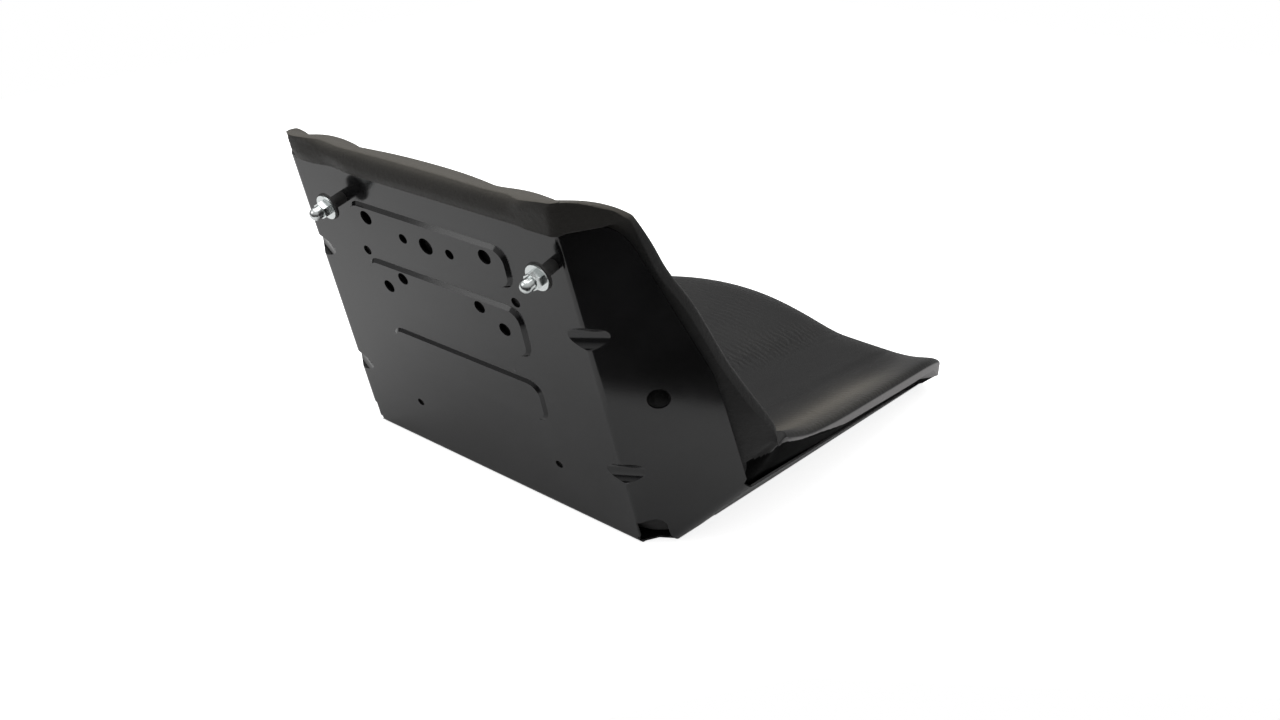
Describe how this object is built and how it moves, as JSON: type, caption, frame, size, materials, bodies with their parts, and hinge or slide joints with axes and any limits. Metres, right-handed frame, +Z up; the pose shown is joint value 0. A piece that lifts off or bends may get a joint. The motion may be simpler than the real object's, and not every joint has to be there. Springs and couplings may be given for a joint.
{
  "type": "tractor seat",
  "caption": "Pan seat for a garden tractor: pressed black steel pan with folded wings, moulded foam cushion and cap-nut studs on the back.",
  "frame": {"origin": "middle of the four base bolt holes, on the underside of the flat base", "axes": "+X to the seated person's left, +Y to the rear, +Z up, square to the base"},
  "size_m": [0.536, 0.5498, 0.3339],
  "materials": {
    "black_paint": "glossy black paint on pressed steel",
    "skinned_foam": "moulded foam with a matte, finely creased integral skin",
    "zinc": "bright zinc plating",
    "black_rubber": "matte black"
  },
  "bodies": {
    "root": {"pan": "black_paint", "cushion": "skinned_foam", "bolt_right": "zinc", "tube_right": "zinc", "seal_right": "black_rubber", "washer_right": "zinc", "nut_right": "zinc", "bolt_left": "zinc", "tube_left": "zinc", "seal_left": "black_rubber", "washer_left": "zinc", "nut_left": "zinc"}
  },
  "joints": []
}
